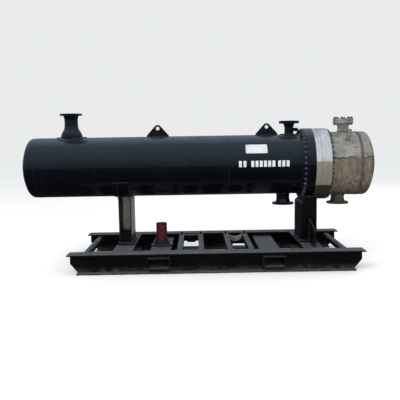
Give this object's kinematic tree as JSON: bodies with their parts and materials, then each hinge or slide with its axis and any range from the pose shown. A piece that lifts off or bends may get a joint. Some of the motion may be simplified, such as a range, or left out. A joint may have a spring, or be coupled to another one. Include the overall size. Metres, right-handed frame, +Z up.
{
  "type": "shell and tube heat exchanger",
  "caption": "Horizontal shell and tube heat exchanger with flanged nozzles, a bolted channel end and lifting lugs, on a saddle and a box column over a fork-lift skid.",
  "frame": {"origin": "centre of the bounding box on the ground, under the skid's beams", "axes": "+X along the shell towards the channel end, +Y to the side away from the blank plate, +Z up"},
  "size_m": [4.489, 1.55, 1.924],
  "materials": {
    "shell_paint": "gloss",
    "bright_steel": "brushed",
    "channel_skin": "weathered",
    "support_paint": "satin",
    "skid_paint": "satin",
    "rib_primer": "matte",
    "stub_paint": "satin",
    "plate_white": "satin",
    "bundle_steel": "dull"
  },
  "bodies": {
    "root": {"shell_head": "shell_paint", "shell_barrel_rear": "shell_paint", "shell_barrel_front": "shell_paint", "shell_girth_flange": "shell_paint", "rear_top_nozzle": "shell_paint", "rear_top_reducer": "shell_paint", "rear_top_pad": "shell_paint", "front_top_nozzle": "shell_paint", "front_top_pad": "shell_paint", "front_top_coupling": "shell_paint", "bottom_nozzle": "shell_paint", "lifting_lug_rear": "shell_paint", "lifting_lug_front": "shell_paint", "tubesheet": "bright_steel", "channel_girth_flange": "bright_steel", "channel_barrel": "channel_skin", "channel_head": "channel_skin", "channel_top_nozzle": "channel_skin", "channel_top_cover": "channel_skin", "channel_bottom_nozzle": "channel_skin", "channel_vent": "channel_skin", "rear_saddle_wear_plate": "support_paint", "rear_saddle_sides": "support_paint", "rear_saddle_toes": "support_paint", "rear_saddle_base": "support_paint", "front_support_cradle": "support_paint", "front_support_sides": "support_paint", "front_support_webs": "support_paint", "front_support_gussets": "support_paint", "front_support_base": "support_paint", "skid_beam_near": "skid_paint", "skid_beam_far": "skid_paint", "cross_member_rear": "skid_paint", "cross_member_front": "skid_paint", "fork_pocket_rear": "skid_paint", "fork_pocket_front": "skid_paint", "skid_end_pipes": "skid_paint", "cross_bars_rear": "skid_paint", "cross_bars_front": "skid_paint", "pipe_cradles_rear": "skid_paint", "pipe_cradles_front": "skid_paint", "rear_saddle_rib": "rib_primer", "stub_pipe": "stub_paint", "stub_base": "stub_paint", "tag_plate": "plate_white", "tube_bundle": "bundle_steel"}
  },
  "joints": []
}
